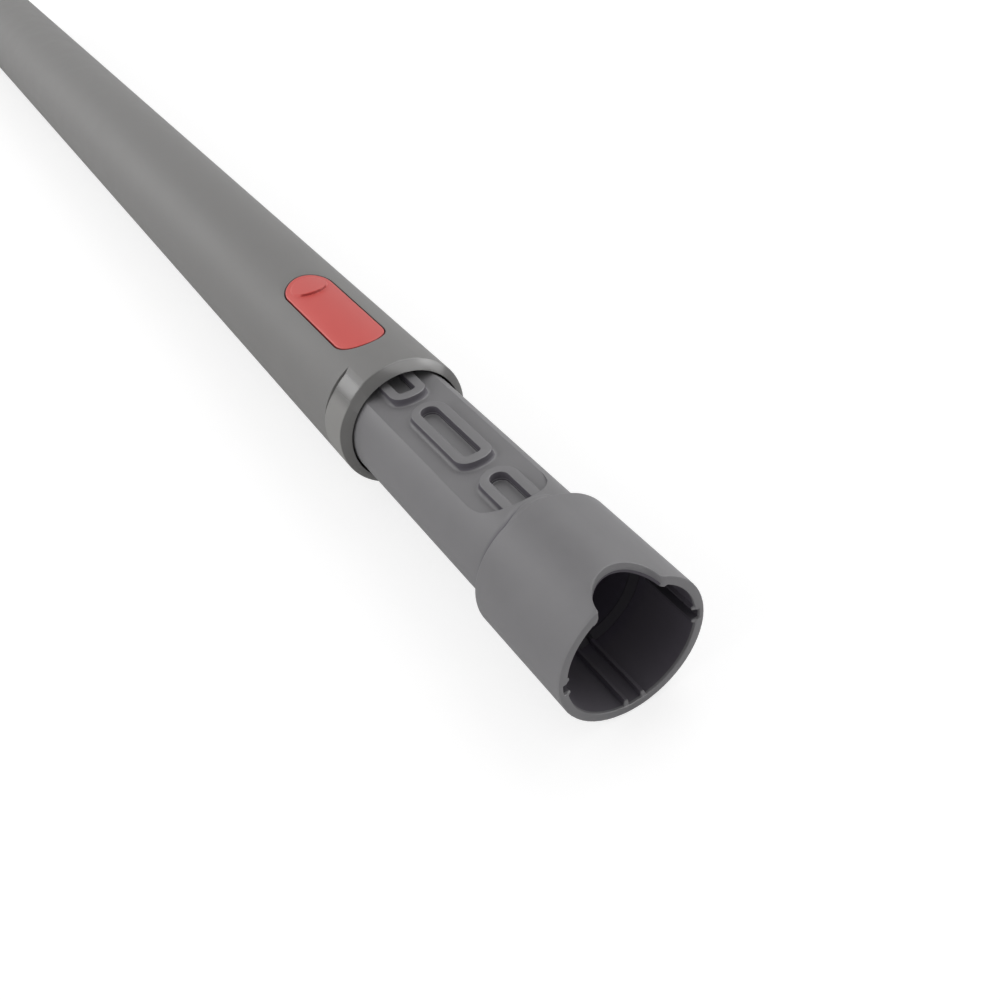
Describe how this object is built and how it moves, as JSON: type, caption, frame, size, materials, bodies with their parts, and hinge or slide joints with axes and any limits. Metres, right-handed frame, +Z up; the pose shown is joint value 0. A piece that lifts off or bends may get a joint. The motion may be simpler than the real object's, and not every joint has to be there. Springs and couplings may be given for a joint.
{
  "type": "telescopic vacuum wand",
  "caption": "Telescopic vacuum cleaner wand: a keyed socket cuff on a sliding inner tube with a stepped stop lane, held in an outer tube by a sprung rocker catch.",
  "frame": {"origin": "middle of the wand's length, on the plane that it lies on, below the tube axis", "axes": "+X along the tube axis towards the open socket cuff, +Z up through the lane and the catch"},
  "size_m": [0.71, 0.0424, 0.0434],
  "materials": {
    "inner_tube_grey": "fine moulded texture",
    "outer_tube_grey": "fine moulded texture",
    "collar_grey": "satin",
    "catch_red": "satin",
    "steel": "drawn",
    "bush_white": "plain",
    "seal_black": "plain"
  },
  "bodies": {
    "outer": {"outer_tube": "outer_tube_grey", "guide_collar": "collar_grey", "catch_pin": "steel", "catch_spring": "steel", "end_spigot": "outer_tube_grey"},
    "inner": {"inner_tube": "inner_tube_grey", "tail_bush": "bush_white", "tail_seal": "seal_black"},
    "catch": {"release_catch": "catch_red"}
  },
  "joints": [
    {"name": "telescope", "type": "slide", "parent": "outer", "child": "inner", "axis": [1, 0, 0], "range_m": [-0.0374, 0.4114]},
    {"name": "catch_rock", "type": "hinge", "parent": "outer", "child": "catch", "pos_m": [0.19451, 0, 0.0386], "axis": [0, -1, 0], "range_deg": [0, 6.5], "stiffness_Nm_per_rad": 0.3, "springref_deg": -5.73, "deforming": ["catch_spring"]}
  ]
}
